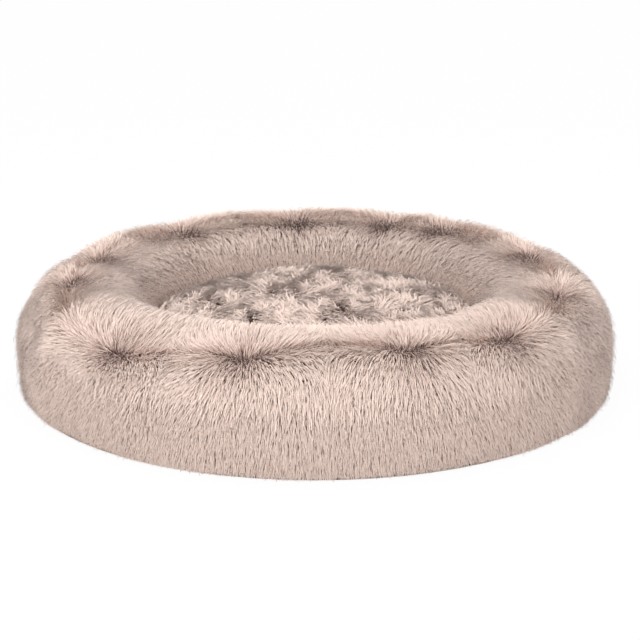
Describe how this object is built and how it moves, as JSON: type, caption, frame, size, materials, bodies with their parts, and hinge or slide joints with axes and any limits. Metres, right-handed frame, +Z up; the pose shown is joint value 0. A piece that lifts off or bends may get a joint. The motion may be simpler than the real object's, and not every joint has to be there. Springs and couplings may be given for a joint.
{
  "type": "donut pet bed",
  "caption": "Large round pet bed with a thick gathered ring of long plush fur round a plump furred centre cushion, and a zip at the back of its base.",
  "frame": {"origin": "middle of the flat underside, on the surface that the bed stands on", "axes": "+Z up through the middle of the bed, -Y towards the front, with the zip at the back, +Y"},
  "size_m": [1.143, 1.143, 0.2118],
  "materials": {
    "fur": "matte",
    "base_cloth": "matte",
    "seam_tape": "matte",
    "liner": "matte",
    "fibre": "matte",
    "zip_tape": "matte",
    "zip_coil": "satin",
    "zip_metal": "satin"
  },
  "bodies": {
    "bed": {"outer_fur_front": "fur", "outer_fur_right": "fur", "outer_fur_back": "fur", "outer_fur_left": "fur", "inner_fur_front": "fur", "inner_fur_right": "fur", "inner_fur_back": "fur", "inner_fur_left": "fur", "centre_fur": "fur", "base_panel": "base_cloth", "gather_tape": "seam_tape", "crevice_tape": "seam_tape", "bolster_liner": "liner", "bolster_fill": "fibre", "cushion_liner": "liner", "cushion_fill": "fibre", "zip_tape_lower": "zip_tape", "zip_tape_upper": "zip_tape", "zip_coil_lower": "zip_coil", "zip_coil_upper": "zip_coil", "zip_top_stop_lower": "zip_metal", "zip_top_stop_upper": "zip_metal", "zip_bottom_stop": "zip_metal"},
    "slider": {"zip_slider": "zip_metal"},
    "pull": {"zip_pull": "zip_metal"}
  },
  "joints": [
    {"name": "zip_travel", "type": "hinge", "parent": "bed", "child": "slider", "pos_m": [0, 0, 0.02165], "axis": [0, 0, 1], "range_deg": [0, 82]},
    {"name": "pull_turn", "type": "hinge", "parent": "slider", "child": "pull", "pos_m": [0.36677, 0.42119, 0.02165], "axis": [0, 0, -1], "range_deg": [0, 170]}
  ]
}
